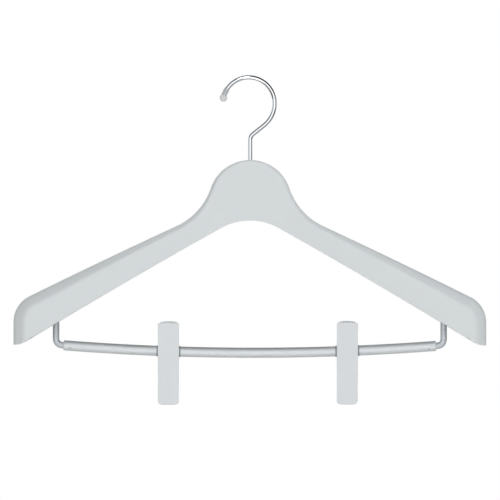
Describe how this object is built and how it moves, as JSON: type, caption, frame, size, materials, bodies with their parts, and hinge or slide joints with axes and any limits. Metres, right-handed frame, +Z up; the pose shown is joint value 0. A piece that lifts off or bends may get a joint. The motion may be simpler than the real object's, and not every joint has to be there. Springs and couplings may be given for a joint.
{
  "type": "clothes hanger",
  "caption": "Broad-shouldered suit hanger with a swivel wire hook, a bowed trouser bar below the arms and sprung clips that slide along the bar.",
  "frame": {"origin": "the point of the hook's inner crown that rests on the rail, on the swivel axis", "axes": "+X along the arms to the hook's closed side, -Y is the front, +Z up"},
  "size_m": [0.44, 0.0436, 0.3067],
  "materials": {
    "hook_chrome": "bright chrome plate",
    "tip_vinyl": "clear soft vinyl",
    "plated_steel": "zinc plate",
    "body_plastic": "fine satin moulding",
    "natural_nylon": "natural nylon",
    "bar_steel": "satin nickel plate",
    "rod_steel": "satin nickel plate",
    "pin_steel": "dark plated",
    "spring_steel": "drawn spring wire",
    "clip_plastic": "fine satin moulding",
    "pad_rubber": "soft ribbed rubber"
  },
  "bodies": {
    "hook": {"hook_wire": "hook_chrome", "hook_tip_cap": "tip_vinyl", "hook_washer": "plated_steel"},
    "hanger": {"hanger_body": "body_plastic", "swivel_bush": "natural_nylon", "trouser_bar_tube": "bar_steel", "left_bar_leg": "rod_steel", "right_bar_leg": "rod_steel", "left_bar_pin": "pin_steel", "right_bar_pin": "pin_steel"},
    "left_slider": {"left_clip_sleeve": "natural_nylon"},
    "left_clip_front": {"left_clip_front_leaf": "clip_plastic", "left_clip_front_pad": "pad_rubber", "left_clip_spring": "spring_steel"},
    "left_clip_rear": {"left_clip_rear_leaf": "clip_plastic", "left_clip_rear_pad": "pad_rubber"},
    "right_slider": {"right_clip_sleeve": "natural_nylon"},
    "right_clip_front": {"right_clip_front_leaf": "clip_plastic", "right_clip_front_pad": "pad_rubber", "right_clip_spring": "spring_steel"},
    "right_clip_rear": {"right_clip_rear_leaf": "clip_plastic", "right_clip_rear_pad": "pad_rubber"}
  },
  "joints": [
    {"name": "hook_swivel", "type": "hinge", "parent": "hook", "child": "hanger", "pos_m": [0, 0, -0.088], "axis": [0, 0, 1], "continuous": true},
    {"name": "left_clip_travel", "type": "hinge", "parent": "hanger", "child": "left_slider", "pos_m": [0, 0, 2.0058], "axis": [0, -1, 0], "range_deg": [-1.97, 1.59]},
    {"name": "left_clip_swing", "type": "hinge", "parent": "left_slider", "child": "left_clip_front", "pos_m": [-0.0756, 0, -0.25294], "axis": [1, 0, 0], "range_deg": [-110, 110]},
    {"name": "left_clip_jaw", "type": "hinge", "parent": "left_clip_front", "child": "left_clip_rear", "pos_m": [-0.0756, 0, -0.25294], "axis": [1, 0, 0], "range_deg": [0, 20], "stiffness_Nm_per_rad": 0.25, "springref_deg": -28.65, "deforming": ["left_clip_spring"]},
    {"name": "right_clip_travel", "type": "hinge", "parent": "hanger", "child": "right_slider", "pos_m": [0, 0, 2.0058], "axis": [0, -1, 0], "range_deg": [-1.97, 1.58]},
    {"name": "right_clip_swing", "type": "hinge", "parent": "right_slider", "child": "right_clip_front", "pos_m": [0.0906, 0, -0.25238], "axis": [1, 0, 0], "range_deg": [-110, 110]},
    {"name": "right_clip_jaw", "type": "hinge", "parent": "right_clip_front", "child": "right_clip_rear", "pos_m": [0.0906, 0, -0.25238], "axis": [1, 0, 0], "range_deg": [0, 20], "stiffness_Nm_per_rad": 0.25, "springref_deg": -28.65, "deforming": ["right_clip_spring"]}
  ]
}
